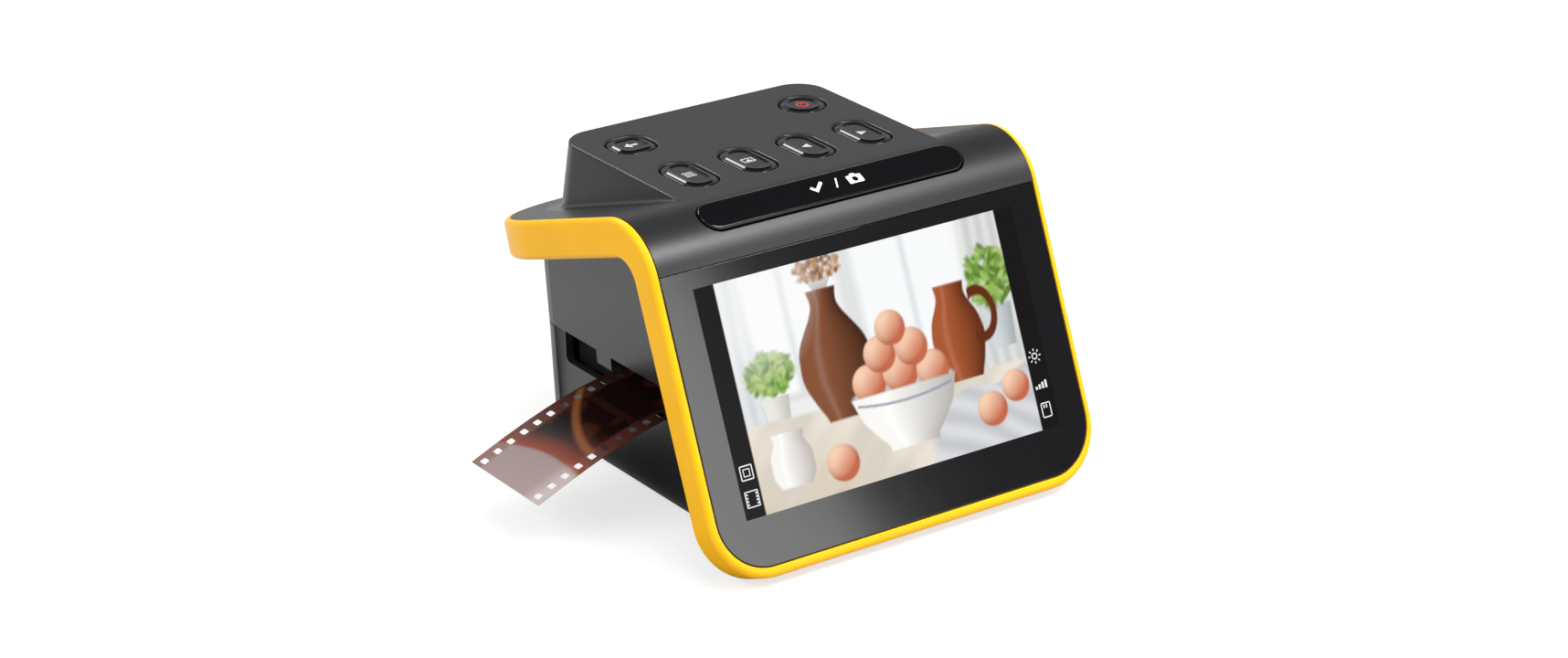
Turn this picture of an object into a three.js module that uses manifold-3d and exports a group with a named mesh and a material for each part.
// Desktop film negative scanner: a narrow base holds the backlight, the film tray and the main board,
// and an L-shaped cover, hinged at the rear, carries the screen, the control block and the camera.
// Millimetres and degrees. X runs to the right, Y to the rear, Z up. The origin lies on the base's
// underside, straight below the lens.
import * as THREE from 'three';
import { mergeVertices } from 'three/addons/utils/BufferGeometryUtils.js';
import Module from 'manifold-3d';

const wasm = await Module();
wasm.setup();

// Cover plate, seen from the side: a tilted front face, a brow arc and a shelf that falls to the rear
const plateHalfWidth = 66.5;
const bodyHeight = 94.1;
const screenTilt = 22.8;
const shelfSlope = 18.6;
const browRadius = 18.6;
const browCentreY = -16.2;
const frontLength = 86.7;
const shelfLength = 88;
const frontCornerRadius = 18;
const rearCornerRadius = 43.5;
const frontDepth = 9.6;
const shelfDepth = 11.4;
const browSteps = 12;
const frontCornerSteps = 8;
const rearCornerSteps = 12;

// Trim band round the cover's edge
const lipSide = 2.1;
const lipBottom = 3;
const lipRear = 1.9;
const trimOuterRound = 1.8;
const trimLowerRound = 1;
const trimRoundSteps = 4;
const trimGap = 0.2;

// Cover shell and control block
const coverWall = 2.2;
const skirtWall = 1.8;
const frontWall = 2;
const linerThickness = 1.6;
const linerGap = 0.2;
const blockHalfWidth = 44;
const blockFrontY = -19.5;
const blockRearY = 49.7;
const blockRearRadius = 9.5;
const blockFrontRadius = 2.5;
const blockDraft = 7;
const blockEdge = 0.5;
const blockRoot = 34;

// Screen panel, window and display
const panelThickness = 1.8;
const panelSink = 0.2;
const panelSeatGap = 0.3;
const activeWidth = 109.4;
const activeHeight = 64.3;
const pictureDrop = 37.5;
const bondLine = 0.05;
const displayWidth = 114;
const displayHeight = 71.6;
const displayThickness = 3.6;
const displayGap = 0.3;
const bracketSheet = 0.8;
const bracketHalfWidth = 62;
const bracketHalfHeight = 31.5;
const displayScrewX = 60;
const displayScrewY = 28;
const displayBossRadius = 2;

// Keys on the control block
const keyTravel = 0.8;
const keyWall = 0.35;
const keySink = 0.3;
const keyEdge = 0.7;
const keyFlange = 0.8;
const keyFlangeHeight = 0.9;
const keyStemRadius = 1.6;
const keyStemHeight = 1.2;
const wellDepth = 1.3;
const wellLip = 1.3;
const wellSlope = 1.5;
const capsuleWidth = 7.6;
const capsuleLength = 16.2;
const capsulePitch = 20;
const capsuleY = 2.6;
const cornerKeyX = 30;
const cornerKeyY = 32;
const backKeySize = 9.2;
const backKeyRadius = 3;
const powerKeyDiameter = 9.6;
const keyOutlineSteps = 5;

// Wide key on the brow
const barHalfLength = 44.6;
const barAngle = 25;
const barHalfWidth = 5.1;
const barProud = 0.6;
const barThickness = 4.2;
const barEdge = 0.5;
const barStemHeight = 1;

// Boards in the cover
const boardThickness = 1.4;
const switchClearance = 0.15;
const switchHeight = 1.7;
const switchSize = 4.4;
const keyBoardHalfWidth = 33;
const keyBoardFrontY = -9;
const keyBoardRearY = 42;
const keyPostX = 20;
const keyPostRearY = 38;
const keyPostFrontY = -6;
const barBoardHalfLength = 52;
const barBoardHalfWidth = 3.6;
const barSwitchX = 22;
const barPostX = 49;
const postRadius = 2.4;
const postSeat = 0.1;

// Camera under the control block
const carrierThickness = 2;
const carrierDrop = 13.1;
const carrierHalfWidth = 41;
const carrierFrontY = -8;
const carrierRearY = 44;
const carrierTongueHalfWidth = 20;
const carrierTongueY = -16;
const carrierPostX = 38;
const carrierPostFrontY = -4;
const carrierPostRearY = 40;
const sensorHalfWidth = 18;
const sensorHalfLength = 14;
const stackGap = 0.3;
const holderHalfSize = 11;
const holderPlate = 3;
const holderRadius = 9;
const holderLength = 13;
const barrelRadius = 7;
const barrelFlangeRadius = 8.6;
const barrelFlangeHeight = 5;
const barrelLength = 21;
const barrelBore = 5.4;
const barrelClearance = 0.2;
const lensEdge = 1;
const lensCrown = 0.9;
const lensInset = 1.2;
const lensSteps = 4;

// Base: a lower tub and a wider upper shell that meet at the lip over the film slot
const lipZ = 36.6;
const seamGap = 0.3;
const baseWall = 2.4;
const floorThickness = 2.2;
const floorEdge = 0.8;
const tubHalfWidth = 44.8;
const tubDraft = 1.7;
const tubRearY = 58.2;
const tubRearRadius = 7;
const upperHalfWidth = 46.3;
const upperDraft = 4;
const upperRearY = 58.4;
const upperRearRadius = 8.6;
const coverGap = 0.8;
const ledgeThickness = 2;
const ledgeWidth = 6.3;
const deckOpeningHalfX = 30;
const deckOpeningHalfY = 26;

// Film slot through both side walls, and the tray in it
const slotFrontY = -23.5;
const slotRearY = 46;
const slotBottomZ = 26;
const slotRadius = 1.8;
const keyRibFrontY = 19.5;
const keyRibRearY = 27;
const keyRibZ = 32.5;
const keyRibDepth = 4.4;
const trayInset = 3.8;
const trayFrontY = -20.5;
const trayRearY = 44.5;
const trayFloorGap = 0.3;
const filmZ = 33.5;
const filmThickness = 0.2;
const filmWidth = 35;
const filmSide = 0.2;
const filmLayGap = 0.05;
const grooveDepth = 0.5;
const trayRailTopZ = 36;
const ribClearance = 0.5;
const lidBottomZ = 33.95;
const lidRearY = 18;
const frameLength = 36;
const frameWidth = 24;
const trayKnuckleRadius = 1.1;
const trayKnuckleLength = 7.8;
const trayKnuckleGap = 0.2;
const trayKnuckles = 5;
const trayKnuckleY = -21.7;
const trayPinRadius = 0.5;
const pinClearance = 0.06;
const notchRadius = 1;
const notchDepth = 0.5;
const framePitch = 38;

// Film strip: it lies flat in the tray and droops from the slot
const perforationPitch = 4.75;
const perforationLength = 1.98;
const perforationWidth = 2.8;
const perforationMargin = 2;
const filmInset = 5;
const filmCount = 28;
const droopInset = 1;
const droopAngle = 27;
const droopReach = 25;

// Film stage, backlight and hood
const stageTopZ = 26.1;
const stageThickness = 1.8;
const stageInset = 5.8;
const stageWindowX = 40.4;
const stageWindowY = 28.4;
const glassFit = 0.2;
const glassThickness = 1;
const railFrontY = -25.2;
const railFrontInnerY = -23.8;
const railRearInnerY = 46.3;
const railRearY = 47.4;
const legRadius = 2.6;
const legInset = 3;
const legFrontY = -21.5;
const legRearY = 44.5;
const lightHalfX = 26;
const lightHalfY = 20;
const lightWall = 2.8;
const lightRebate = 1;
const diffuserThickness = 1.4;
const ledSize = 3.2;
const ledHeight = 0.9;
const ledPitchX = 14;
const ledPitchY = 10.5;
const hoodFlange = 1.4;
const hoodHalfLength = 24.5;
const hoodDrop = 40.1;
const hoodWall = 1.6;
const hoodFootX = 44;
const hoodFootY = 32;
const hoodMouth = 20;
const springThickness = 0.3;
const springHeight = 5;
const springHalfLength = 12;
const springFlat = 4;
const springZ = 30;

// Main board, its ports, and the screws
const mainBoardZ = 6.6;
const mainBoardInset = 11.4;
const mainBoardFrontY = 22.5;
const mainBoardRearInset = 4.8;
const mainPostInset = 3.9;
const mainPostY = 26.5;
const chipSize = 12;
const chipHeight = 1.5;
const chipX = -10;
const chipY = 31;
const memorySize = 7;
const memoryX = 4.5;
const portSink = 0.4;
const portFit = 0.35;
const usbX = -22;
const usbWidth = 9;
const usbHeight = 3.3;
const usbDepth = 7.5;
const videoX = -5.5;
const videoWidth = 15.2;
const videoHeight = 5.8;
const videoDepth = 11.5;
const cardX = 19.5;
const cardWidth = 26;
const cardHeight = 3.2;
const cardDepth = 21;
const portShell = 0.4;
const tongueShare = 0.7;
const tongueThickness = 0.7;
const footRadius = 4.6;
const footThickness = 1;
const footRecess = 0.5;
const footInset = 11.3;
const footFrontInset = 12.83;
const footRearY = 41;
const caseScrewInset = 10.3;
const caseScrewFrontInset = 24.83;
const caseBossRadius = 3.6;
const caseBossTopZ = 14;
const pillarRadius = 3;
const screwRadius = 1;
const screwClearance = 0.12;
const screwHeadRadius = 1.9;
const screwHeadHeight = 0.9;
const screwLength = 6;
const shortScrewRadius = 0.8;
const shortScrewHeadRadius = 1.6;
const shortScrewHeadHeight = 0.6;
const shortScrewLength = 2.4;
const screwSocketDepth = 3;

// Rear hinge
const hingeRadius = 2.6;
const hingeDrop = 3.1;
const hingeBack = 3.6;
const hingeX = 30;
const knuckleLength = 4;
const knuckleGap = 0.3;
const hingePinRadius = 1.2;

// General values for cuts and round shapes
const overrun = 2;
const roundSteps = 20;
const smallSteps = 12;
const samePoint = 0.001;

// Directions and local frames
const radians = THREE.MathUtils.degToRad;
const tilt = radians(screenTilt);
const slope = radians(shelfSlope);
const barTurn = radians(barAngle);
const right = new THREE.Vector3(1, 0, 0);
const rearward = new THREE.Vector3(0, 1, 0);
const upward = new THREE.Vector3(0, 0, 1);
const screenUp = new THREE.Vector3(0, Math.sin(tilt), Math.cos(tilt));
const screenOut = new THREE.Vector3(0, -Math.cos(tilt), Math.sin(tilt));
const shelfBack = new THREE.Vector3(0, Math.cos(slope), -Math.sin(slope));
const shelfOut = new THREE.Vector3(0, Math.sin(slope), Math.cos(slope));
const barUp = new THREE.Vector3(0, Math.cos(barTurn), Math.sin(barTurn));
const barOut = new THREE.Vector3(0, -Math.sin(barTurn), Math.cos(barTurn));
const browCentre = new THREE.Vector3(0, browCentreY, bodyHeight - browRadius);
const reach = frontLength + shelfLength;

// Places that follow from the sizes above
const carrierZ = bodyHeight - carrierDrop;
const hoodTopZ = bodyHeight - hoodDrop;
const trayHalfLength = tubHalfWidth - trayInset;
const filmInnerX = trayHalfLength - filmInset;
const droopStartX = droopInset - trayHalfLength;
const stageHalfLength = tubHalfWidth - stageInset;
const legX = stageHalfLength - legInset;
const mainBoardHalfWidth = tubHalfWidth - mainBoardInset;
const mainPostX = mainBoardHalfWidth - mainPostInset;
const mainBoardRearY = tubRearY - mainBoardRearInset;
const footX = tubHalfWidth - footInset;
const floorFrontDrop = browRadius - frontDepth - coverGap + browCentre.z * Math.sin(tilt);
const floorFrontY = browCentreY - floorFrontDrop / Math.cos(tilt);
const footFrontY = floorFrontY + footFrontInset;
const caseScrewY = floorFrontY + caseScrewFrontInset;
const caseScrewX = tubHalfWidth - caseScrewInset;

function frameAt(origin, x, y, z) {
  return new THREE.Matrix4().makeBasis(x, y, z).setPosition(origin);
}

const world = new THREE.Matrix4();
const sideFrame = frameAt(new THREE.Vector3(), rearward, upward, right);
const backFrame = frameAt(new THREE.Vector3(), right.clone().negate(), upward, rearward);
const screenFrame = frameAt(browCentre, right, screenUp, screenOut);
const shelfFrame = frameAt(browCentre, right, shelfBack, shelfOut);
const barFrame = frameAt(browCentre, right, barUp, barOut);

// Solids: closed meshes become manifold solids, which join and cut
function solidFrom(geometry) {
  const plain = geometry.index ? geometry.toNonIndexed() : geometry;
  plain.deleteAttribute('normal');
  plain.deleteAttribute('uv');
  const merged = mergeVertices(plain);
  const mesh = new wasm.Mesh({
    numProp: 3,
    vertProperties: new Float32Array(merged.attributes.position.array),
    triVerts: new Uint32Array(merged.index.array),
  });
  return new wasm.Manifold(mesh);
}

function geometryFrom(solid) {
  const mesh = solid.getMesh();
  const geometry = new THREE.BufferGeometry();
  geometry.setAttribute('position', new THREE.BufferAttribute(new Float32Array(mesh.vertProperties), 3));
  geometry.setIndex(new THREE.BufferAttribute(new Uint32Array(mesh.triVerts), 1));
  return geometry;
}

const join = (...solids) => solids.reduce((sum, solid) => sum.add(solid));
const cut = (body, ...tools) => tools.reduce((rest, tool) => rest.subtract(tool), body);
const common = (...solids) => solids.reduce((sum, solid) => sum.intersect(solid));

function box(x0, x1, y0, y1, z0, z1, frame = world) {
  const geometry = new THREE.BoxGeometry(x1 - x0, y1 - y0, z1 - z0);
  geometry.translate((x0 + x1) / 2, (y0 + y1) / 2, (z0 + z1) / 2);
  return solidFrom(geometry.applyMatrix4(frame));
}

// A flat outline on a frame's x and y, raised along its z from one height to another
function prism(outline, z0, z1, frame = world) {
  const shape = outline instanceof THREE.Shape ? outline : new THREE.Shape(outline);
  const geometry = new THREE.ExtrudeGeometry(shape, { depth: z1 - z0, bevelEnabled: false, curveSegments: 1 });
  return solidFrom(geometry.translate(0, 0, z0).applyMatrix4(frame));
}

function circle(radius, steps, x = 0, y = 0) {
  return Array.from({ length: steps }, (_, i) => {
    const angle = (i / steps) * 2 * Math.PI;
    return new THREE.Vector2(x + radius * Math.cos(angle), y + radius * Math.sin(angle));
  });
}

function cylinder(radius, x, y, z0, z1, frame = world, steps = roundSteps) {
  return prism(circle(radius, steps, x, y), z0, z1, frame);
}

// A revolved part: the profile is a list of [radius, height] that closes on the axis or on itself
function revolve(profile, x, y, steps = roundSteps) {
  const points = profile.map(([radius, height]) => new THREE.Vector2(radius, height));
  const geometry = new THREE.LatheGeometry(points, steps).rotateX(Math.PI / 2);
  return solidFrom(geometry.translate(x, y, 0));
}

// A rounded rectangle, counter-clockwise, with one radius at the low-y corners and one at the high-y ones
function roundedBox(x0, x1, y0, y1, lowRadius, highRadius, steps) {
  const corner = (cx, cy, radius, start) => Array.from({ length: steps + 1 }, (_, i) => {
    const angle = start + (i / steps) * (Math.PI / 2);
    return new THREE.Vector2(cx + radius * Math.cos(angle), cy + radius * Math.sin(angle));
  });
  const points = [
    ...corner(x1 - lowRadius, y0 + lowRadius, lowRadius, -Math.PI / 2),
    ...corner(x1 - highRadius, y1 - highRadius, highRadius, 0),
    ...corner(x0 + highRadius, y1 - highRadius, highRadius, Math.PI / 2),
    ...corner(x0 + lowRadius, y0 + lowRadius, lowRadius, Math.PI),
  ];
  return points.filter((point, i) => point.distanceTo(points.at(i - 1)) > samePoint);
}

function triangleSolid(points, faces) {
  const positions = faces.flat().flatMap((i) => points[i].toArray());
  const geometry = new THREE.BufferGeometry();
  geometry.setAttribute('position', new THREE.Float32BufferAttribute(positions, 3));
  return solidFrom(geometry);
}

// Skin over rings that hold the same number of points, each ring above the one before it
function loft(rings, closed = false) {
  const count = rings[0].length;
  const points = rings.flat();
  const faces = [];
  const spans = closed ? rings.length : rings.length - 1;
  for (let ring = 0; ring < spans; ring += 1) {
    for (let i = 0; i < count; i += 1) {
      const next = (i + 1) % count;
      const low = ring * count;
      const high = ((ring + 1) % rings.length) * count;
      faces.push([low + i, low + next, high + next], [low + i, high + next, high + i]);
    }
  }
  if (!closed) {
    const last = (rings.length - 1) * count;
    const flat = rings[0].map((point) => new THREE.Vector2(point.x, point.y));
    THREE.ShapeUtils.triangulateShape(flat, []).forEach(([a, b, c]) => {
      faces.push([c, b, a], [last + a, last + b, last + c]);
    });
  }
  return triangleSolid(points, faces);
}

const atHeight = (outline, z) => outline.map((point) => new THREE.Vector3(point.x, point.y, z));

// Cover plate
const arcStart = Math.PI - tilt;
const arcEnd = Math.PI / 2 - slope;
const arcTurn = arcStart - arcEnd;
const arcLength = browRadius * arcTurn;

// The plate's side view at a depth below its outer face, as points of (Y, Z) from the foot to the rear.
// Both straight runs go past their ends, where the outlines below cut them.
function plateProfile(frontOffset, shelfOffset) {
  const radius = browRadius - (frontOffset + shelfOffset) / 2;
  const shift = (frontOffset - shelfOffset) / 2 / Math.cos(tilt - slope);
  const centreY = browCentre.y + shift * (Math.cos(slope) + Math.sin(tilt));
  const centreZ = browCentre.z + shift * (Math.cos(tilt) - Math.sin(slope));
  const arc = Array.from({ length: browSteps + 1 }, (_, i) => {
    const angle = arcStart - (i / browSteps) * arcTurn;
    return new THREE.Vector2(centreY + radius * Math.cos(angle), centreZ + radius * Math.sin(angle));
  });
  const foot = new THREE.Vector2(-screenUp.y, -screenUp.z).multiplyScalar(reach).add(arc[0]);
  const rear = new THREE.Vector2(shelfBack.y, shelfBack.z).multiplyScalar(reach).add(arc[browSteps]);
  return [foot, ...arc, rear];
}

function plateLayer(frontTop, shelfTop, frontLow, shelfLow) {
  const outline = [...plateProfile(frontTop, shelfTop), ...plateProfile(frontLow, shelfLow).reverse()];
  return prism(outline, -plateHalfWidth - overrun, plateHalfWidth + overrun, sideFrame);
}

// Everything under the plate's outer face at a depth, and everything over it
function underPlate(frontOffset, shelfOffset) {
  const profile = plateProfile(frontOffset, shelfOffset);
  const rear = profile[profile.length - 1];
  const outline = [...profile, new THREE.Vector2(rear.x, -reach), new THREE.Vector2(profile[0].x, -reach)];
  return prism(outline, -reach, reach, sideFrame);
}

function overPlate(frontOffset, shelfOffset) {
  const profile = plateProfile(frontOffset, shelfOffset);
  const rear = profile[profile.length - 1];
  const outline = [...profile, new THREE.Vector2(rear.x, reach), new THREE.Vector2(-reach, reach)];
  return prism(outline, -reach, reach, sideFrame);
}

// The column inside the plate's edge: front outline through the screen, shelf outline through the shelf
function insideEdge(side, bottom, rear) {
  const half = plateHalfWidth - side;
  const frontRadius = frontCornerRadius - (side + bottom) / 2;
  const rearRadius = rearCornerRadius - (side + rear) / 2;
  const front = roundedBox(-half, half, bottom - frontLength, reach, frontRadius, frontRadius, frontCornerSteps);
  const shelf = roundedBox(-half, half, -reach, shelfLength - rear, rearRadius, rearRadius, rearCornerSteps);
  return common(prism(front, -reach, reach, screenFrame), prism(shelf, -reach, reach, shelfFrame));
}

// The plate laid flat: q runs from the front's foot, over the brow, to the shelf's rear edge
function flatOutline(side, bottom, rear) {
  const half = plateHalfWidth - side;
  const top = frontLength + arcLength + shelfLength - rear;
  const frontRadius = frontCornerRadius - (side + bottom) / 2;
  const rearRadius = rearCornerRadius - (side + rear) / 2;
  const corner = (cx, cy, radius, start, steps) => Array.from({ length: steps + 1 }, (_, i) => {
    const angle = start + (i / steps) * (Math.PI / 2);
    return new THREE.Vector2(cx + radius * Math.cos(angle), cy + radius * Math.sin(angle));
  });
  const rise = (x) => Array.from({ length: browSteps + 1 }, (_, i) => (
    new THREE.Vector2(x, frontLength + (i / browSteps) * arcLength)
  ));
  return [
    ...corner(half - frontRadius, bottom + frontRadius, frontRadius, -Math.PI / 2, frontCornerSteps),
    ...rise(half),
    ...corner(half - rearRadius, top - rearRadius, rearRadius, 0, rearCornerSteps),
    ...corner(rearRadius - half, top - rearRadius, rearRadius, Math.PI / 2, rearCornerSteps),
    ...rise(-half).reverse(),
    ...corner(frontRadius - half, bottom + frontRadius, frontRadius, Math.PI, frontCornerSteps),
  ];
}

// A place on the laid-flat plate, bent back into space, with its outward normal and the plate's depth
function bentPlace(x, q) {
  const turn = THREE.MathUtils.clamp((q - frontLength) / browRadius, 0, arcTurn);
  const angle = arcStart - turn;
  const out = new THREE.Vector3(0, Math.cos(angle), Math.sin(angle));
  const along = new THREE.Vector3(0, Math.sin(angle), -Math.cos(angle));
  const straight = q - frontLength - turn * browRadius;
  const point = browCentre.clone().addScaledVector(out, browRadius).addScaledVector(along, straight);
  point.x = x;
  return { point, out, depth: THREE.MathUtils.lerp(frontDepth, shelfDepth, turn / arcTurn) };
}

function trimBand() {
  const outer = flatOutline(0, 0, 0);
  const inner = flatOutline(lipSide, lipBottom, lipRear);
  const rings = outer.map((edge, station) => {
    const lip = inner[station].clone().sub(edge);
    const width = lip.length();
    const { depth } = bentPlace(edge.x, edge.y);
    const place = (inward, down) => {
      const spot = edge.clone().addScaledVector(lip, inward / width);
      const bent = bentPlace(spot.x, spot.y);
      return bent.point.addScaledVector(bent.out, -down);
    };
    const section = [place(width, 0)];
    for (let i = 0; i <= trimRoundSteps; i += 1) {
      const angle = (i / trimRoundSteps) * (Math.PI / 2);
      section.push(place(trimOuterRound * (1 - Math.sin(angle)), trimOuterRound * (1 - Math.cos(angle))));
    }
    for (let i = 0; i <= trimRoundSteps; i += 1) {
      const angle = (i / trimRoundSteps) * (Math.PI / 2);
      section.push(place(
        trimLowerRound * (1 - Math.cos(angle)),
        depth - trimLowerRound * (1 - Math.sin(angle)),
      ));
    }
    section.push(place(width, depth));
    return section;
  });
  return loft(rings, true);
}

// Control block: a drafted block with round rear corners, at a height and an inset from its outside
function blockRing(z, inset) {
  const spread = (bodyHeight - z) * Math.tan(radians(blockDraft));
  const half = blockHalfWidth + spread - inset;
  const rear = blockRearY + spread - inset;
  return atHeight(roundedBox(
    -half, half, blockFrontY + inset, rear, blockFrontRadius, blockRearRadius - inset, keyOutlineSteps,
  ), z);
}

const blockOuter = () => loft([
  blockRing(bodyHeight - blockRoot, 0),
  blockRing(bodyHeight - blockEdge, 0),
  blockRing(bodyHeight, blockEdge),
]);
const blockInner = () => loft([
  blockRing(bodyHeight - blockRoot, coverWall),
  blockRing(bodyHeight - coverWall, coverWall),
]);

// Keys: each has an outline round its own centre, grown or shrunk by an offset
const capsule = (grow) => roundedBox(
  -capsuleWidth / 2 - grow, capsuleWidth / 2 + grow, -capsuleLength / 2 - grow, capsuleLength / 2 + grow,
  capsuleWidth / 2 + grow, capsuleWidth / 2 + grow, keyOutlineSteps,
);
const roundedSquare = (grow) => roundedBox(
  -backKeySize / 2 - grow, backKeySize / 2 + grow, -backKeySize / 2 - grow, backKeySize / 2 + grow,
  backKeyRadius + grow, backKeyRadius + grow, keyOutlineSteps,
);
const disc = (grow) => circle(powerKeyDiameter / 2 + grow, roundSteps);

const keys = [
  { name: 'back_key', outline: roundedSquare, x: -cornerKeyX, y: cornerKeyY },
  { name: 'power_key', outline: disc, x: cornerKeyX, y: cornerKeyY },
  { name: 'menu_key', outline: capsule, x: -1.5 * capsulePitch, y: capsuleY },
  { name: 'gallery_key', outline: capsule, x: -0.5 * capsulePitch, y: capsuleY },
  { name: 'left_key', outline: capsule, x: 0.5 * capsulePitch, y: capsuleY },
  { name: 'right_key', outline: capsule, x: 1.5 * capsulePitch, y: capsuleY },
];

const moved = (outline, key) => outline.map((point) => new THREE.Vector2(point.x + key.x, point.y + key.y));
const keyTopZ = bodyHeight - keySink;
const keyFlangeTopZ = bodyHeight - coverWall - stackGap;
const keyFlangeLowZ = keyFlangeTopZ - keyFlangeHeight;
const keyStemZ = keyFlangeLowZ - keyStemHeight;
const keyBoardTopZ = keyStemZ - keyTravel - switchClearance - switchHeight;

function keyCap(key) {
  const ring = (grow, z) => atHeight(moved(key.outline(grow), key), z);
  const cap = loft([ring(0, keyFlangeLowZ), ring(0, keyTopZ - keyEdge), ring(-keyEdge, keyTopZ)]);
  const flange = prism(moved(key.outline(keyFlange), key), keyFlangeLowZ, keyFlangeTopZ);
  return join(cap, flange, cylinder(keyStemRadius, key.x, key.y, keyStemZ, keyFlangeTopZ, world, smallSteps));
}

function keyWell(key) {
  const ring = (grow, z) => atHeight(moved(key.outline(grow), key), z);
  const lip = loft([
    ring(wellLip, bodyHeight - wellDepth),
    ring(wellLip + wellSlope, bodyHeight),
    ring(wellLip + wellSlope, bodyHeight + overrun),
  ]);
  const hole = prism(moved(key.outline(keyWall), key), keyFlangeTopZ - overrun, bodyHeight + overrun);
  return join(lip, hole);
}

// Wide key: a capsule on the brow's own curve
const barOutline = (grow) => roundedBox(
  -barHalfLength - grow, barHalfLength + grow, -barHalfWidth - grow, barHalfWidth + grow,
  barHalfWidth + grow, barHalfWidth + grow, keyOutlineSteps,
);
const browDrum = (radius) => prism(circle(radius, roundSteps * 4, browCentre.y, browCentre.z),
  -plateHalfWidth, plateHalfWidth, sideFrame);
const barUnderside = browRadius + barProud - barThickness;
const barBoardTop = barUnderside - barStemHeight - keyTravel - switchClearance - switchHeight;

function okBar() {
  const column = prism(barOutline(0), 0, browRadius + overrun, barFrame);
  const edge = prism(barOutline(-barEdge), 0, browRadius + overrun, barFrame);
  const body = common(column, browDrum(browRadius + barProud - barEdge));
  const face = common(edge, browDrum(browRadius + barProud));
  const stems = [-barSwitchX, barSwitchX].map((x) => (
    cylinder(keyStemRadius, x, 0, barUnderside - barStemHeight, browRadius, barFrame, smallSteps)
  ));
  return join(cut(join(body, face), browDrum(barUnderside)), ...stems);
}

function barBoard() {
  const board = box(
    -barBoardHalfLength, barBoardHalfLength, -barBoardHalfWidth, barBoardHalfWidth,
    barBoardTop - boardThickness, barBoardTop, barFrame,
  );
  const switches = [-barSwitchX, barSwitchX].map((x) => box(
    x - switchSize / 2, x + switchSize / 2, -switchSize / 2, switchSize / 2,
    barBoardTop - boardThickness / 2, barBoardTop + switchHeight, barFrame,
  ));
  return join(board, ...switches);
}

// Cover shell
const skirtSide = lipSide + trimGap;
const skirtBottom = lipBottom + trimGap;
const skirtRear = lipRear + trimGap;
const frontSeat = panelSink + panelThickness + panelSeatGap;
const frontInner = frontSeat + frontWall;
const pictureY = -pictureDrop;

const mainPlace = (x, y) => [[-x, y], [x, y]];
const carrierPosts = [
  ...mainPlace(carrierPostX, carrierPostFrontY), ...mainPlace(carrierPostX, carrierPostRearY),
];
const keyPosts = [...mainPlace(keyPostX, keyPostFrontY), ...mainPlace(keyPostX, keyPostRearY)];
const displayScrews = [
  ...mainPlace(displayScrewX, pictureY - displayScrewY), ...mainPlace(displayScrewX, pictureY + displayScrewY),
];
const carrierPostEndZ = carrierZ + carrierThickness + postSeat;
const displayBackDepth = frontSeat + bondLine + displayThickness;
const bracketDepth = displayBackDepth + displayGap;

function coverShell() {
  const slab = common(
    plateLayer(0, 0, frontDepth - linerThickness - linerGap, shelfDepth - linerThickness - linerGap),
    insideEdge(skirtSide, skirtBottom, skirtRear),
  );
  const block = common(blockOuter(), overPlate(coverWall / 2, coverWall / 2));
  const cavity = common(
    plateLayer(frontInner, coverWall, frontDepth + overrun, shelfDepth + overrun),
    insideEdge(skirtSide + skirtWall, skirtBottom + skirtWall, skirtRear + skirtWall),
  );
  const half = plateHalfWidth - skirtSide;
  const seat = box(-half - overrun, half + overrun, -reach, 0, browRadius - frontSeat, reach, screenFrame);
  const displayHole = box(
    -displayWidth / 2 - displayGap, displayWidth / 2 + displayGap,
    pictureY - displayHeight / 2 - displayGap, pictureY + displayHeight / 2 + displayGap,
    0, browRadius, screenFrame,
  );
  const posts = [
    ...carrierPosts.map(([x, y]) => cylinder(postRadius, x, y, carrierPostEndZ, bodyHeight - coverWall / 2)),
    ...keyPosts.map(([x, y]) => (
      cylinder(postRadius, x, y, keyBoardTopZ + postSeat, bodyHeight - coverWall / 2, world, smallSteps)
    )),
    ...[-barPostX, barPostX].map((x) => cylinder(
      postRadius, x, 0, barBoardTop + postSeat, browRadius - coverWall, barFrame, smallSteps,
    )),
  ];
  const bosses = displayScrews.map(([x, y]) => cylinder(
    displayBossRadius, x, y, browRadius - bracketDepth + postSeat, browRadius - frontInner + frontWall / 2,
    screenFrame, smallSteps,
  ));
  const sockets = [
    ...carrierPosts.map(([x, y]) => cylinder(
      screwRadius + screwClearance, x, y, carrierPostEndZ - overrun, carrierPostEndZ + screwLength,
      world, smallSteps,
    )),
    ...displayScrews.map(([x, y]) => cylinder(
      shortScrewRadius + screwClearance, x, y, browRadius - frontDepth, browRadius - frontInner + frontWall / 2,
      screenFrame, smallSteps,
    )),
  ];
  const slotForBar = prism(barOutline(keyWall), 0, browRadius + overrun, barFrame);
  const shell = cut(join(slab, block), cavity, blockInner(), seat, displayHole, slotForBar, ...keys.map(keyWell));
  return cut(join(shell, ...posts, ...bosses), ...sockets);
}

function coverLiner() {
  const sheet = common(
    plateLayer(frontDepth - linerThickness, shelfDepth - linerThickness, frontDepth, shelfDepth),
    insideEdge(skirtSide, skirtBottom, skirtRear),
  );
  const opening = box(
    -carrierHalfWidth - skirtWall, carrierHalfWidth + skirtWall, carrierTongueY - skirtWall,
    carrierRearY + skirtWall, 0, reach,
  );
  return join(cut(sheet, opening), ...hingeSides.map((x) => coverKnuckle(x)));
}

function screenPanel() {
  const half = plateHalfWidth - skirtSide;
  const radius = frontCornerRadius - (skirtSide + skirtBottom) / 2;
  const outline = roundedBox(
    -half, half, skirtBottom - frontLength, reach, radius, radius, frontCornerSteps,
  );
  const low = browRadius - panelSink - panelThickness;
  const plate = common(
    prism(outline, low, browRadius - panelSink, screenFrame),
    box(-reach, reach, -reach, -trimGap, 0, reach, screenFrame),
  );
  return cut(plate, windowBox(bondLine, 0, reach));
}

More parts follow.
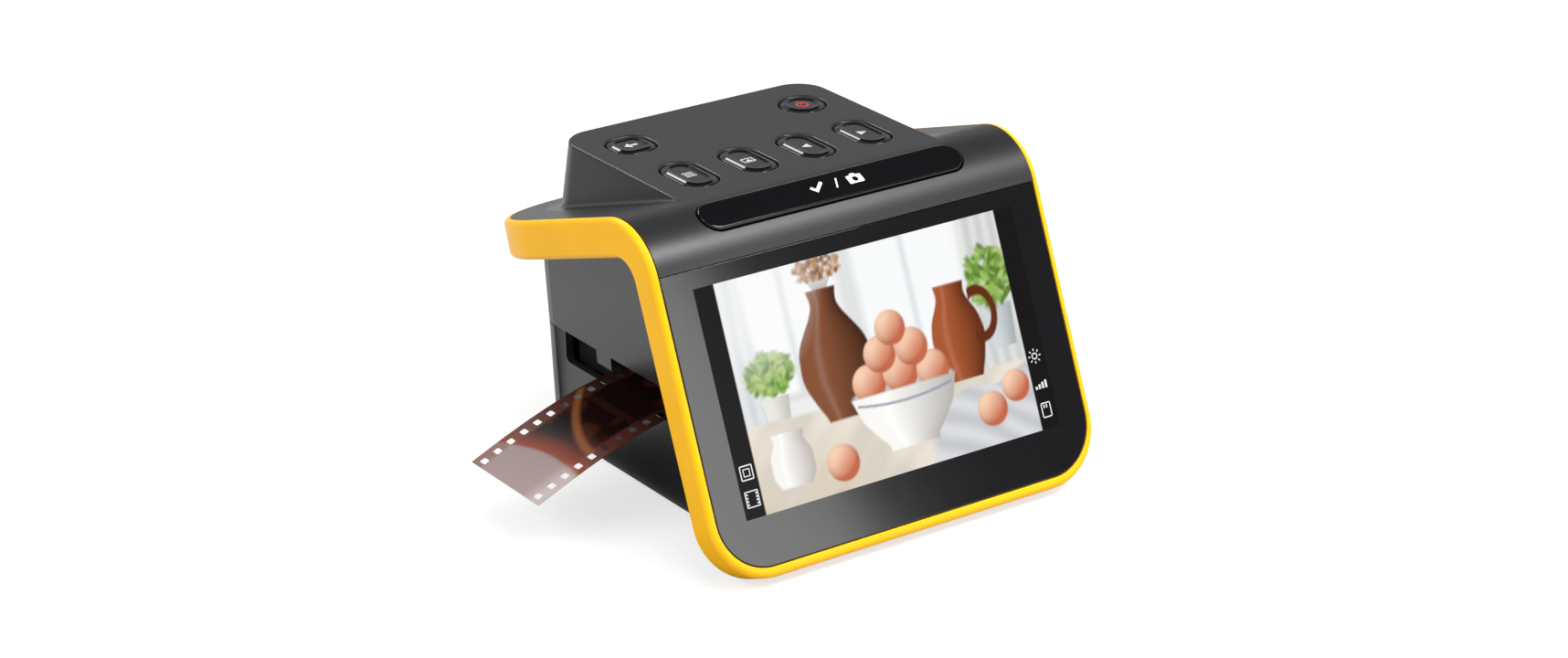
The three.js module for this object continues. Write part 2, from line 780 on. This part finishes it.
function windowBox(grow, z0, z1) {
  return box(
    -activeWidth / 2 - grow, activeWidth / 2 + grow,
    pictureY - activeHeight / 2 - grow, pictureY + activeHeight / 2 + grow, z0, z1, screenFrame,
  );
}

const screenWindow = () => windowBox(0, browRadius - panelSink - panelThickness, browRadius - panelSink);

const displayModule = () => box(
  -displayWidth / 2, displayWidth / 2, pictureY - displayHeight / 2, pictureY + displayHeight / 2,
  browRadius - displayBackDepth, browRadius - frontSeat - bondLine, screenFrame,
);

function displayBracket() {
  const sheet = box(
    -bracketHalfWidth, bracketHalfWidth, pictureY - bracketHalfHeight, pictureY + bracketHalfHeight,
    browRadius - bracketDepth - bracketSheet, browRadius - bracketDepth, screenFrame,
  );
  const holes = displayScrews.map(([x, y]) => (
    cylinder(shortScrewRadius + screwClearance, x, y, 0, browRadius, screenFrame, smallSteps)
  ));
  return cut(sheet, ...holes);
}

function displayScrew([x, y]) {
  const seat = browRadius - bracketDepth - bracketSheet - bondLine;
  return join(
    cylinder(shortScrewHeadRadius, x, y, seat - shortScrewHeadHeight, seat, screenFrame, smallSteps),
    cylinder(shortScrewRadius, x, y, seat - shortScrewHeadHeight / 2, seat + shortScrewLength,
      screenFrame, smallSteps),
  );
}

// Boards and camera in the control block
function keyBoard() {
  const board = box(
    -keyBoardHalfWidth, keyBoardHalfWidth, keyBoardFrontY, keyBoardRearY,
    keyBoardTopZ - boardThickness, keyBoardTopZ,
  );
  const switches = keys.map((key) => box(
    key.x - switchSize / 2, key.x + switchSize / 2, key.y - switchSize / 2, key.y + switchSize / 2,
    keyBoardTopZ - boardThickness / 2, keyBoardTopZ + switchHeight,
  ));
  return join(board, ...switches);
}

function cameraCarrier() {
  const top = carrierZ + carrierThickness;
  const plate = join(
    box(-carrierHalfWidth, carrierHalfWidth, carrierFrontY, carrierRearY, carrierZ, top),
    box(-carrierTongueHalfWidth, carrierTongueHalfWidth, carrierTongueY, carrierFrontY + overrun, carrierZ, top),
  );
  const holes = carrierPosts.map(([x, y]) => (
    cylinder(screwRadius + screwClearance, x, y, carrierZ - overrun, top + overrun, world, smallSteps)
  ));
  const relief = box(-barrelRadius, barrelRadius, -barrelRadius, barrelRadius, carrierZ - overrun, top + overrun);
  return cut(plate, ...holes, relief);
}

function carrierScrew([x, y]) {
  const seat = carrierZ - bondLine;
  return join(
    cylinder(screwHeadRadius, x, y, seat - screwHeadHeight, seat, world, smallSteps),
    cylinder(screwRadius, x, y, seat - screwHeadHeight / 2, seat + screwLength, world, smallSteps),
  );
}

const sensorTopZ = carrierZ - stackGap;
const sensorLowZ = sensorTopZ - boardThickness;
const holderTopZ = sensorLowZ - stackGap;
const barrelTopZ = holderTopZ - holderPlate / 2;
const barrelLowZ = barrelTopZ - barrelLength;

const sensorBoard = () => join(
  box(-sensorHalfWidth, sensorHalfWidth, -sensorHalfLength, sensorHalfLength, sensorLowZ, sensorTopZ),
  box(-barrelBore, barrelBore, -barrelBore / 2, barrelBore / 2, sensorTopZ - boardThickness / 2,
    sensorTopZ + chipHeight),
);

function lensHolder() {
  const plate = box(
    -holderHalfSize, holderHalfSize, -holderHalfSize, holderHalfSize, holderTopZ - holderPlate, holderTopZ,
  );
  const neck = cylinder(holderRadius, 0, 0, holderTopZ - holderLength, holderTopZ - holderPlate / 2);
  const bore = cylinder(
    barrelRadius + barrelClearance, 0, 0, holderTopZ - holderLength - overrun, holderTopZ + overrun,
  );
  return cut(join(plate, neck), bore);
}

const lensBarrel = () => revolve([
  [barrelBore, barrelLowZ],
  [barrelFlangeRadius, barrelLowZ],
  [barrelFlangeRadius, barrelLowZ + barrelFlangeHeight],
  [barrelRadius, barrelLowZ + barrelFlangeHeight],
  [barrelRadius, barrelTopZ],
  [barrelBore, barrelTopZ],
  [barrelBore, barrelLowZ],
], 0, 0);

function lensGlass() {
  const radius = barrelBore - barrelClearance;
  const low = barrelLowZ + lensInset + lensCrown;
  const bulge = Array.from({ length: lensSteps + 1 }, (_, i) => {
    const share = i / lensSteps;
    return [radius * share, low - lensCrown * (1 - share * share)];
  });
  const crown = bulge.map(([r, z]) => [r, 2 * low + lensEdge - z]).reverse();
  return revolve([...bulge, ...crown], 0, 0);
}

// Hinge at the rear: its axis hangs under the shelf, just behind the upper shell's rear wall
const hingeSides = [-hingeX, hingeX];
const hingeY = upperRearY + hingeBack;
const hingeAway = browRadius - shelfDepth - hingeDrop;
const hingeAlong = (hingeY - browCentre.y - shelfOut.y * hingeAway) / shelfBack.y;
const hingePoint = browCentre.clone()
  .addScaledVector(shelfOut, hingeAway).addScaledVector(shelfBack, hingeAlong);
const hingeZ = hingePoint.z;
const hingeOuter = knuckleLength * 1.5 + knuckleGap;

const hingeRod = (radius, x0, x1) => cylinder(radius, hingeY, hingeZ, x0, x1, sideFrame, smallSteps);

function coverKnuckle(x) {
  const low = x - knuckleLength / 2;
  const high = x + knuckleLength / 2;
  const arm = box(
    low, high, hingeAlong - hingeRadius, hingeAlong + hingeRadius,
    hingeAway, hingeAway + hingeDrop + linerThickness / 2, shelfFrame,
  );
  const body = join(hingeRod(hingeRadius, low, high), arm);
  return cut(body, hingeRod(hingePinRadius + pinClearance, low - overrun, high + overrun));
}

function baseKnuckles(x) {
  const sides = [
    [x - hingeOuter, x - knuckleLength / 2 - knuckleGap],
    [x + knuckleLength / 2 + knuckleGap, x + hingeOuter],
  ];
  return sides.map(([low, high]) => {
    const arm = box(low, high, upperRearY - baseWall / 2, hingeY, hingeZ - hingeRadius, hingeZ);
    const body = join(hingeRod(hingeRadius, low, high), arm);
    return cut(body, hingeRod(hingePinRadius + pinClearance, low - overrun, high + overrun));
  });
}

const hingePin = (x) => hingeRod(hingePinRadius, x - hingeOuter, x + hingeOuter);

// Base shells
function baseRing(z, half, rear, radius) {
  return atHeight(roundedBox(-half, half, -reach, rear, radius, radius, keyOutlineSteps), z);
}

const upperHalfAt = (z) => upperHalfWidth + (z - lipZ) * Math.tan(radians(upperDraft));
const tubHalfAt = (z) => tubHalfWidth + (z - lipZ) * Math.tan(radians(tubDraft));
const frontBehind = frontDepth + coverGap;
const shelfBehind = shelfDepth + coverGap;
const tubTopZ = lipZ - seamGap;
const caseScrewPlaces = mainPlace(caseScrewX, caseScrewY);
const footPlaces = [...mainPlace(footX, footFrontY), ...mainPlace(footX, footRearY)];

const baseUpperBlock = (z0) => loft([
  baseRing(z0, upperHalfAt(z0), upperRearY, upperRearRadius),
  baseRing(bodyHeight, upperHalfAt(bodyHeight), upperRearY, upperRearRadius),
]);

function upperBody(inset, z0) {
  return common(
    loft([
      baseRing(z0, upperHalfAt(z0) - inset, upperRearY - inset, upperRearRadius - inset),
      baseRing(bodyHeight, upperHalfAt(bodyHeight) - inset, upperRearY - inset, upperRearRadius - inset),
    ]),
    underPlate(frontBehind + inset, shelfBehind + inset),
  );
}

function tubBody(inset, z0, edge) {
  const ring = (z, shrink) => baseRing(
    z, tubHalfAt(z) - inset - shrink, tubRearY - inset - shrink, tubRearRadius - inset - shrink,
  );
  const foot = edge ? [ring(z0, edge), ring(z0 + edge, 0)] : [ring(z0, 0)];
  return common(
    loft([...foot, ring(inset ? lipZ + overrun : tubTopZ, 0)]),
    underPlate(frontBehind + inset, shelfBehind + inset),
  );
}

function baseUpper() {
  const shell = cut(upperBody(0, lipZ), upperBody(baseWall, lipZ + ledgeThickness));
  const opening = common(
    box(
      ledgeWidth - upperHalfWidth, upperHalfWidth - ledgeWidth, -reach, upperRearY - baseWall - ledgeThickness,
      lipZ - overrun, lipZ + ledgeThickness + overrun,
    ),
    underPlate(frontBehind + baseWall + ledgeThickness, shelfBehind),
  );
  const deckOpening = box(
    -deckOpeningHalfX, deckOpeningHalfX, -deckOpeningHalfY, deckOpeningHalfY, hoodTopZ, reach,
  );
  const ribs = common(
    baseUpperBlock(keyRibZ),
    box(-reach, reach, keyRibFrontY, keyRibRearY, keyRibZ, lipZ + ledgeThickness / 2),
  );
  const ribInner = box(
    keyRibDepth - tubHalfWidth, tubHalfWidth - keyRibDepth, -reach, reach, -reach, reach,
  );
  const pillars = caseScrewPlaces.map(([x, y]) => common(
    cylinder(pillarRadius, x, y, caseBossTopZ + seamGap, bodyHeight, world, smallSteps),
    underPlate(frontBehind + baseWall / 2, shelfBehind + baseWall / 2),
  ));
  const sockets = caseScrewPlaces.map(([x, y]) => cylinder(
    screwRadius + screwClearance, x, y, caseBossTopZ - overrun, caseBossTopZ + screwLength, world, smallSteps,
  ));
  const body = join(
    cut(shell, opening, deckOpening), cut(ribs, ribInner), ...pillars, ...hingeSides.flatMap(baseKnuckles),
  );
  return cut(body, ...sockets);
}

const mainPosts = [...mainPlace(mainPostX, mainPostY)];
const portZ = mainBoardZ + boardThickness + bondLine;
const portRearY = tubRearY - portSink;
const ports = [
  { name: 'usb_c_port', x: usbX, width: usbWidth, height: usbHeight, depth: usbDepth, radiusShare: 0.5 },
  { name: 'video_port', x: videoX, width: videoWidth, height: videoHeight, depth: videoDepth, radiusShare: 0.2 },
  { name: 'card_slot', x: cardX, width: cardWidth, height: cardHeight, depth: cardDepth, radiusShare: 0.1 },
];

function portOutline(port, grow) {
  const radius = (port.height + 2 * grow) * port.radiusShare;
  return roundedBox(
    -port.x - port.width / 2 - grow, -port.x + port.width / 2 + grow,
    portZ - grow, portZ + port.height + grow, radius, radius, keyOutlineSteps,
  );
}

function portBody(port) {
  const shell = prism(portOutline(port, 0), portRearY - port.depth, portRearY, backFrame);
  const mouth = prism(
    portOutline(port, -portShell), portRearY - port.depth + portShell * 2, portRearY + overrun, backFrame,
  );
  const middle = portZ + port.height / 2;
  const half = (port.width / 2 - portShell) * tongueShare;
  const tongue = box(
    port.x - half, port.x + half, portRearY - port.depth + portShell, portRearY - port.depth * (1 - tongueShare),
    middle - tongueThickness / 2, middle + tongueThickness / 2,
  );
  return join(cut(shell, mouth), tongue);
}

function baseLower() {
  const shell = cut(tubBody(0, 0, floorEdge), tubBody(baseWall, floorThickness, 0));
  const slotOutline = roundedBox(
    slotFrontY, slotRearY, slotBottomZ, lipZ + slotRadius, slotRadius, slotRadius, keyOutlineSteps,
  );
  const slot = prism(slotOutline, -reach, reach, sideFrame);
  const bosses = caseScrewPlaces.map(([x, y]) => (
    cylinder(caseBossRadius, x, y, floorThickness / 2, caseBossTopZ, world, smallSteps)
  ));
  const posts = mainPosts.map(([x, y]) => (
    cylinder(postRadius, x, y, floorThickness / 2, mainBoardZ - postSeat, world, smallSteps)
  ));
  const screwHoles = caseScrewPlaces.flatMap(([x, y]) => [
    cylinder(screwHeadRadius + keyWall, x, y, -overrun, caseScrewSeatZ, world, smallSteps),
    cylinder(screwRadius + screwClearance, x, y, -overrun, caseBossTopZ + overrun, world, smallSteps),
  ]);
  const boardHoles = mainPosts.map(([x, y]) => cylinder(
    shortScrewRadius + screwClearance, x, y, mainBoardZ - screwSocketDepth, mainBoardZ + overrun,
    world, smallSteps,
  ));
  const portHoles = ports.map((port) => (
    prism(portOutline(port, portFit), tubRearY - baseWall - overrun, tubRearY + overrun, backFrame)
  ));
  const footHoles = footPlaces.map(([x, y]) => cylinder(footRadius + keyWall, x, y, -overrun, footRecess));
  return cut(
    join(cut(shell, slot), ...bosses, ...posts), ...screwHoles, ...boardHoles, ...portHoles, ...footHoles,
  );
}

const caseScrewSeatZ = caseBossTopZ / 2;

function caseScrew([x, y]) {
  const seat = caseScrewSeatZ - bondLine;
  return join(
    cylinder(screwHeadRadius, x, y, seat - screwHeadHeight, seat, world, smallSteps),
    cylinder(screwRadius, x, y, seat - screwHeadHeight / 2, caseBossTopZ + screwLength - overrun,
      world, smallSteps),
  );
}

const foot = ([x, y]) => cylinder(footRadius, x, y, -footThickness, footRecess);

// Main board
function mainBoard() {
  const top = mainBoardZ + boardThickness;
  const board = box(
    -mainBoardHalfWidth, mainBoardHalfWidth, mainBoardFrontY, mainBoardRearY, mainBoardZ, top,
  );
  const chip = (x, y, size) => (
    box(x - size / 2, x + size / 2, y - size / 2, y + size / 2, top - boardThickness / 2, top + chipHeight)
  );
  const holes = mainPosts.map(([x, y]) => cylinder(
    shortScrewRadius + screwClearance, x, y, mainBoardZ - overrun, top + overrun, world, smallSteps,
  ));
  return cut(join(board, chip(chipX, chipY, chipSize), chip(memoryX, mainPostY, memorySize)), ...holes);
}

function boardScrew([x, y]) {
  const seat = mainBoardZ + boardThickness + bondLine;
  return join(
    cylinder(shortScrewHeadRadius, x, y, seat, seat + shortScrewHeadHeight, world, smallSteps),
    cylinder(shortScrewRadius, x, y, seat - boardThickness - shortScrewLength, seat + shortScrewHeadHeight / 2,
      world, smallSteps),
  );
}

// Film stage, backlight and hood
const stageLowZ = stageTopZ - stageThickness;
const legFootZ = floorThickness + stackGap;
const railTopZ = lipZ - seamGap;

function filmStage() {
  const plate = box(-stageHalfLength, stageHalfLength, railFrontY, railRearY, stageLowZ, stageTopZ);
  const window = box(
    -stageWindowX / 2, stageWindowX / 2, -stageWindowY / 2, stageWindowY / 2,
    stageLowZ - overrun, stageTopZ + overrun,
  );
  const rails = [
    box(-stageHalfLength, stageHalfLength, railFrontY, railFrontInnerY, stageLowZ, railTopZ),
    box(-stageHalfLength, stageHalfLength, railRearInnerY, railRearY, stageLowZ, railTopZ),
  ];
  const legs = [...mainPlace(legX, legFrontY), ...mainPlace(legX, legRearY)].map(([x, y]) => (
    cylinder(legRadius, x, y, legFootZ, stageLowZ + stageThickness / 2, world, smallSteps)
  ));
  return join(cut(plate, window), ...rails, ...legs);
}

const stageGlass = () => box(
  glassFit - stageWindowX / 2, stageWindowX / 2 - glassFit, glassFit - stageWindowY / 2,
  stageWindowY / 2 - glassFit, stageTopZ - glassThickness, stageTopZ,
);

const lightTopZ = stageLowZ - stackGap;
const diffuserLowZ = lightTopZ - diffuserThickness;

function lightBox() {
  const outer = box(-lightHalfX, lightHalfX, -lightHalfY, lightHalfY, legFootZ, lightTopZ);
  const inner = box(
    lightWall - lightHalfX, lightHalfX - lightWall, lightWall - lightHalfY, lightHalfY - lightWall,
    0, lightTopZ + overrun,
  );
  const rebate = box(
    lightRebate - lightHalfX, lightHalfX - lightRebate, lightRebate - lightHalfY, lightHalfY - lightRebate,
    diffuserLowZ - bondLine, lightTopZ + overrun,
  );
  return cut(outer, inner, rebate);
}

const lightDiffuser = () => box(
  lightRebate + glassFit - lightHalfX, lightHalfX - lightRebate - glassFit,
  lightRebate + glassFit - lightHalfY, lightHalfY - lightRebate - glassFit, diffuserLowZ, lightTopZ,
);

function ledBoard() {
  const top = legFootZ + boardThickness;
  const half = lightWall + stackGap;
  const board = box(
    half - lightHalfX, lightHalfX - half, half - lightHalfY, lightHalfY - half, legFootZ, top,
  );
  const leds = [-1, 0, 1].flatMap((column) => [-1, 0, 1].map((row) => {
    const x = column * ledPitchX;
    const y = row * ledPitchY;
    return box(x - ledSize / 2, x + ledSize / 2, y - ledSize / 2, y + ledSize / 2,
      top - boardThickness / 2, top + ledHeight);
  }));
  return join(board, ...leds);
}

function lightHood() {
  const rectangle = (width, length, z) => atHeight([
    new THREE.Vector2(-width / 2, -length / 2), new THREE.Vector2(width / 2, -length / 2),
    new THREE.Vector2(width / 2, length / 2), new THREE.Vector2(-width / 2, length / 2),
  ], z);
  const wide = 2 * hoodWall;
  const flange = box(-hoodHalfLength, hoodHalfLength, railFrontY, railRearY, lipZ, lipZ + hoodFlange);
  const outer = loft([
    rectangle(hoodFootX + wide, hoodFootY + wide, lipZ), rectangle(hoodMouth + wide, hoodMouth + wide, hoodTopZ),
  ]);
  const run = (hoodTopZ - lipZ) / overrun;
  const flareX = (hoodFootX - hoodMouth) / run;
  const flareY = (hoodFootY - hoodMouth) / run;
  const inner = loft([
    rectangle(hoodFootX + flareX, hoodFootY + flareY, lipZ - overrun),
    rectangle(hoodMouth - flareX, hoodMouth - flareY, hoodTopZ + overrun),
  ]);
  return cut(join(flange, outer), inner);
}

// Click spring between the tray's rear face and the rear rail
function clickSpring() {
  const seatY = railRearInnerY - bondLine * 2;
  const peakY = trayRearY + bondLine * 2;
  const line = [
    new THREE.Vector2(-springHalfLength, seatY),
    new THREE.Vector2(-springHalfLength + springFlat, seatY),
    new THREE.Vector2(-notchRadius, peakY + springThickness),
    new THREE.Vector2(notchRadius, peakY + springThickness),
    new THREE.Vector2(springHalfLength - springFlat, seatY),
    new THREE.Vector2(springHalfLength, seatY),
  ];
  const front = line.map((point) => new THREE.Vector2(point.x, point.y - springThickness)).reverse();
  return prism([...line, ...front], springZ, springZ + springHeight);
}

// Film tray: a keyed base with a film groove, and the lid that closes over it
const trayLowZ = stageTopZ + trayFloorGap;
const filmLowZ = filmZ - filmThickness / 2;
const grooveZ = filmLowZ - filmLayGap;
const trayDeckZ = grooveZ + grooveDepth;
const trayPinZ = (trayDeckZ + lidBottomZ) / 2;
const trayKnuckleStep = trayKnuckleLength + trayKnuckleGap;
const trayPinReach = trayKnuckles / 2 * trayKnuckleStep;

function trayKnuckle(index, armLow, armHigh) {
  const low = index * trayKnuckleStep - trayKnuckleLength / 2;
  const high = low + trayKnuckleLength;
  const rod = (radius, from, to) => cylinder(radius, trayKnuckleY, trayPinZ, from, to, sideFrame, smallSteps);
  const arm = box(low, high, trayKnuckleY, trayFrontY + overrun, armLow, armHigh);
  return cut(
    join(rod(trayKnuckleRadius, low, high), arm),
    rod(trayPinRadius + pinClearance, low - overrun, high + overrun),
  );
}

const frameGate = (z0, z1) => box(-frameLength / 2, frameLength / 2, -frameWidth / 2, frameWidth / 2, z0, z1);

function trayBase() {
  const keyFront = keyRibFrontY - ribClearance * 2;
  const keyRear = keyRibRearY + ribClearance * 2;
  const outline = [
    [trayFrontY, trayLowZ], [trayRearY, trayLowZ], [trayRearY, trayRailTopZ], [keyRear, trayRailTopZ],
    [keyRear, keyRibZ - ribClearance], [keyFront, keyRibZ - ribClearance], [keyFront, trayDeckZ],
    [trayFrontY, trayDeckZ],
  ].map(([y, z]) => new THREE.Vector2(y, z));
  const body = prism(outline, -trayHalfLength, trayHalfLength, sideFrame);
  const groove = box(
    -reach, reach, -filmWidth / 2 - filmSide, filmWidth / 2 + filmSide, grooveZ, trayDeckZ + overrun,
  );
  const notches = [-1, 0, 1].map((index) => cylinder(
    notchRadius, index * framePitch, trayRearY + notchRadius - notchDepth, 0, reach, world, smallSteps,
  ));
  const knuckles = [-2, 0, 2].map((index) => trayKnuckle(index, trayPinZ - trayKnuckleRadius, grooveZ));
  return join(cut(body, groove, frameGate(0, reach), ...notches), ...knuckles);
}

function trayLid() {
  const lid = box(-trayHalfLength, trayHalfLength, trayFrontY, lidRearY, lidBottomZ, trayRailTopZ);
  const knuckles = [-1, 1].map((index) => (
    trayKnuckle(index, lidBottomZ, trayPinZ + trayKnuckleRadius)
  ));
  return join(cut(lid, frameGate(0, reach)), ...knuckles);
}

const trayPin = () => cylinder(
  trayPinRadius, trayKnuckleY, trayPinZ, -trayPinReach, trayPinReach, sideFrame, smallSteps,
);

// Film strip: a thin lattice with its perforations left open, bent over the droop
function filmStrip() {
  const half = filmWidth / 2;
  const across = [
    -half, -half + perforationMargin, -half + perforationMargin + perforationWidth,
    half - perforationMargin - perforationWidth, half - perforationMargin, half,
  ];
  const along = [filmInnerX];
  for (let i = 0; i < filmCount; i += 1) {
    const start = filmInnerX - i * perforationPitch - (perforationPitch - perforationLength) / 2;
    along.push(start, start - perforationLength);
  }
  along.push(filmInnerX - filmCount * perforationPitch);
  const isHole = (i, j) => i % 2 === 1 && (j === 1 || j === 3);
  const fall = (x) => radians(droopAngle) * (1 - Math.exp(Math.min(x - droopStartX, 0) / droopReach));
  let spot = new THREE.Vector3(filmInnerX, 0, filmZ);
  const line = along.map((x, i) => {
    const run = i ? along[i - 1] - x : 0;
    const angle = fall(x + run / 2);
    spot = spot.clone().add(new THREE.Vector3(-run * Math.cos(angle), 0, -run * Math.sin(angle)));
    return { spot, out: new THREE.Vector3(-Math.sin(fall(x)), 0, Math.cos(fall(x))) };
  });
  const points = [];
  [-1, 1].forEach((side) => line.forEach(({ spot: centre, out }) => across.forEach((y) => {
    const point = centre.clone().addScaledVector(out, side * filmThickness / 2);
    point.y = y;
    points.push(point);
  })));
  const columns = across.length;
  const layer = along.length * columns;
  const at = (i, j, top) => (top ? layer : 0) + i * columns + j;
  const open = (i, j) => i < 0 || j < 0 || i >= along.length - 1 || j >= columns - 1 || isHole(i, j);
  const faces = [];
  const quad = (a, b, c, d) => faces.push([a, b, c], [a, c, d]);
  for (let i = 0; i < along.length - 1; i += 1) {
    for (let j = 0; j < columns - 1; j += 1) {
      if (!isHole(i, j)) {
        quad(at(i, j, true), at(i, j + 1, true), at(i + 1, j + 1, true), at(i + 1, j, true));
        quad(at(i, j, false), at(i + 1, j, false), at(i + 1, j + 1, false), at(i, j + 1, false));
        if (open(i - 1, j)) quad(at(i, j, false), at(i, j + 1, false), at(i, j + 1, true), at(i, j, true));
        if (open(i + 1, j)) {
          quad(at(i + 1, j, true), at(i + 1, j + 1, true), at(i + 1, j + 1, false), at(i + 1, j, false));
        }
        if (open(i, j - 1)) quad(at(i, j, true), at(i + 1, j, true), at(i + 1, j, false), at(i, j, false));
        if (open(i, j + 1)) {
          quad(at(i, j + 1, false), at(i + 1, j + 1, false), at(i + 1, j + 1, true), at(i, j + 1, true));
        }
      }
    }
  }
  return triangleSolid(points, faces);
}

// The assembly
const finish = (color, roughness, metalness = 0) => ({ color, roughness, metalness });
const satinBlack = finish(0x2b2b2c, 0.45);
const glossBlack = finish(0x0c0c0d, 0.12);
const yellow = finish(0xf2b01e, 0.35);
const innerBlack = finish(0x1c1c1d, 0.7);
const boardGreen = finish(0x1f4a33, 0.5);
const steel = finish(0xb4b6b8, 0.35, 1);
const clear = finish(0xe8eef2, 0.05);
const rubber = finish(0x171717, 0.85);
const amber = finish(0x8a3f1c, 0.3);
const milky = finish(0xf1f1ec, 0.6);

const group = new THREE.Group();

function place(name, solid, look) {
  const mesh = new THREE.Mesh(geometryFrom(solid), new THREE.MeshStandardMaterial(look));
  mesh.name = name;
  group.add(mesh);
}

place('cover_shell', coverShell(), satinBlack);
place('trim_band', trimBand(), yellow);
place('screen_panel', screenPanel(), glossBlack);
place('screen_window', screenWindow(), clear);
place('display_module', displayModule(), innerBlack);
place('display_bracket', displayBracket(), steel);
displayScrews.forEach((spot, i) => place(`display_screw_${i + 1}`, displayScrew(spot), steel));
place('cover_liner', coverLiner(), innerBlack);
place('key_board', keyBoard(), boardGreen);
place('bar_board', barBoard(), boardGreen);
place('camera_carrier', cameraCarrier(), innerBlack);
carrierPosts.forEach((spot, i) => place(`carrier_screw_${i + 1}`, carrierScrew(spot), steel));
place('sensor_board', sensorBoard(), boardGreen);
place('lens_holder', lensHolder(), innerBlack);
place('lens_barrel', lensBarrel(), innerBlack);
place('lens_glass', lensGlass(), clear);
keys.forEach((key) => place(key.name, keyCap(key), glossBlack));
place('ok_bar', okBar(), glossBlack);

place('base_upper', baseUpper(), satinBlack);
place('base_lower', baseLower(), satinBlack);
caseScrewPlaces.forEach((spot, i) => place(`case_screw_${i + 1}`, caseScrew(spot), steel));
footPlaces.forEach((spot, i) => place(`foot_${i + 1}`, foot(spot), rubber));
place('hinge_pin_left', hingePin(-hingeX), steel);
place('hinge_pin_right', hingePin(hingeX), steel);
place('film_stage', filmStage(), innerBlack);
place('stage_glass', stageGlass(), clear);
place('light_box', lightBox(), milky);
place('light_diffuser', lightDiffuser(), milky);
place('led_board', ledBoard(), boardGreen);
place('light_hood', lightHood(), innerBlack);
place('click_spring', clickSpring(), steel);
place('main_board', mainBoard(), boardGreen);
mainPosts.forEach((spot, i) => place(`board_screw_${i + 1}`, boardScrew(spot), steel));
ports.forEach((port) => place(port.name, portBody(port), steel));

place('tray_base', trayBase(), innerBlack);
place('tray_lid', trayLid(), innerBlack);
place('tray_pin', trayPin(), steel);
place('film_strip', filmStrip(), amber);

export default group;
